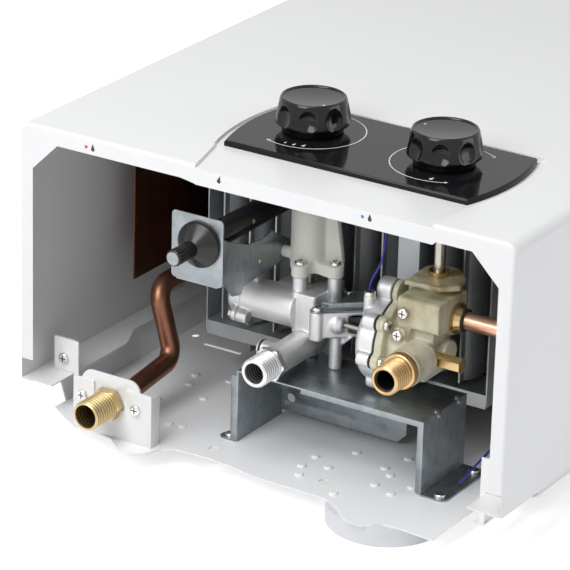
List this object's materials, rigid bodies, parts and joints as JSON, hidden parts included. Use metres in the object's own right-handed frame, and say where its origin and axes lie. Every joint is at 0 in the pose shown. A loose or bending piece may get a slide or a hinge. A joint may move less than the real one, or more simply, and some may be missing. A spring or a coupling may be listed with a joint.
{
  "type": "gas water heater",
  "caption": "Tankless gas water heater lying on its back: folded cover with two knobs over gas and water valves, burner, exchanger, battery igniter and hose ports.",
  "frame": {"origin": "middle of the footprint, on the plane the four spacer feet rest on", "axes": "+Y from the hose ports to the flue end, +Z out of the front cover, +X to the right seen with the hose ports towards the viewer"},
  "size_m": [0.39, 0.6938, 0.259],
  "materials": {
    "cover_white": "semi-gloss white enamel",
    "plate_white": "pale grey-white enamel",
    "foot_plastic": "moulded, satin",
    "panel_gloss": "high gloss black",
    "knob_gloss": "high gloss black",
    "brass": "machined",
    "copper_dark": "heat-browned copper",
    "copper_bright": "bright copper",
    "cast_aluminium": "die cast, satin",
    "galvanised": "galvanised, satin",
    "screw_steel": "bright plated",
    "spindle_steel": "ground",
    "nylon": "natural glass-filled nylon",
    "ivory_plastic": "moulded, satin",
    "black_plastic": "moulded, satin",
    "rubber": "soft, matte",
    "ceramic": "glazed ceramic",
    "cell_jacket": "printed steel jacket, plain",
    "lead_sheath": "flexible sheath"
  },
  "bodies": {
    "heater": {"front_cover": "cover_white", "back_plate": "plate_white", "spacer_feet": "foot_plastic", "plate_screws": "screw_steel", "control_panel": "panel_gloss", "spindle_collar": "brass", "outlet_bracket": "cover_white", "clamp_plate": "cover_white", "hot_outlet": "brass", "hot_pipe": "copper_dark", "heat_shield": "copper_dark", "support_table": "galvanised", "gas_valve": "cast_aluminium", "solenoid": "cast_aluminium", "gas_inlet": "cast_aluminium", "gas_seal": "rubber", "valve_plate": "galvanised", "spindle_column": "ivory_plastic", "gas_valve_screws": "screw_steel", "gas_feed": "cast_aluminium", "micro_switch": "black_plastic", "diaphragm_cover": "cast_aluminium", "diaphragm": "rubber", "water_valve": "nylon", "water_valve_screws": "screw_steel", "cold_inlet": "brass", "inlet_filter": "black_plastic", "outlet_nut": "brass", "outlet_seal": "rubber", "cold_pipe": "copper_bright", "battery_tube": "black_plastic", "battery_cells": "cell_jacket", "battery_bracket": "galvanised", "burner_bars": "galvanised", "gas_manifold": "galvanised", "burner_jets": "brass", "burner_frame": "galvanised", "electrodes": "ceramic", "combustion_chamber": "copper_dark", "exchanger_fins": "copper_bright", "exchanger_tube": "copper_bright", "flue_hood": "galvanised", "chamber_brackets": "galvanised", "igniter_box": "black_plastic", "ignition_leads": "lead_sheath", "exhaust_grille": "cover_white", "handle_ears": "galvanised", "end_screws": "screw_steel"},
    "gas_knob": {"gas_knob": "knob_gloss", "gas_spindle": "spindle_steel"},
    "water_knob": {"water_knob": "knob_gloss", "water_spindle": "spindle_steel"},
    "push_rod": {"push_rod": "spindle_steel"},
    "gas_poppet": {"gas_poppet": "brass"},
    "battery_cap": {"battery_cap": "black_plastic", "battery_contact": "spindle_steel"},
    "drain_plug": {"drain_plug": "brass", "drain_seal": "rubber"},
    "carry_handle": {"carry_handle": "spindle_steel"}
  },
  "joints": [
    {"name": "gas_knob_turn", "type": "hinge", "parent": "heater", "child": "gas_knob", "pos_m": [-0.0195, -0.2141, 0.243], "axis": [0, 0, 1], "range_deg": [0, 270]},
    {"name": "water_knob_turn", "type": "hinge", "parent": "heater", "child": "water_knob", "pos_m": [0.0857, -0.2161, 0.243], "axis": [0, 0, 1], "range_deg": [0, 270]},
    {"name": "push_rod_slide", "type": "slide", "parent": "heater", "child": "push_rod", "axis": [-1, 0, 0], "range_m": [0, 0.004], "stiffness_N_per_m": 400},
    {"name": "poppet_slide", "type": "slide", "parent": "heater", "child": "gas_poppet", "axis": [-1, 0, 0], "range_m": [0, 0.004]},
    {"name": "battery_cap_turn", "type": "hinge", "parent": "heater", "child": "battery_cap", "pos_m": [-0.0565, -0.3041, 0.1677], "axis": [0, -1, 0], "range_deg": [0, 90]},
    {"name": "drain_plug_turn", "type": "hinge", "parent": "heater", "child": "drain_plug", "pos_m": [0.105, -0.2456, 0.1048], "axis": [1, 0, 0], "range_deg": [0, 720]},
    {"name": "handle_fold", "type": "hinge", "parent": "heater", "child": "carry_handle", "pos_m": [0, 0.2999, 0.064], "axis": [1, 0, 0], "range_deg": [0, 90]}
  ],
  "couplings": [
    {"joint": "poppet_slide", "follows": "push_rod_slide", "ratio": 1}
  ]
}
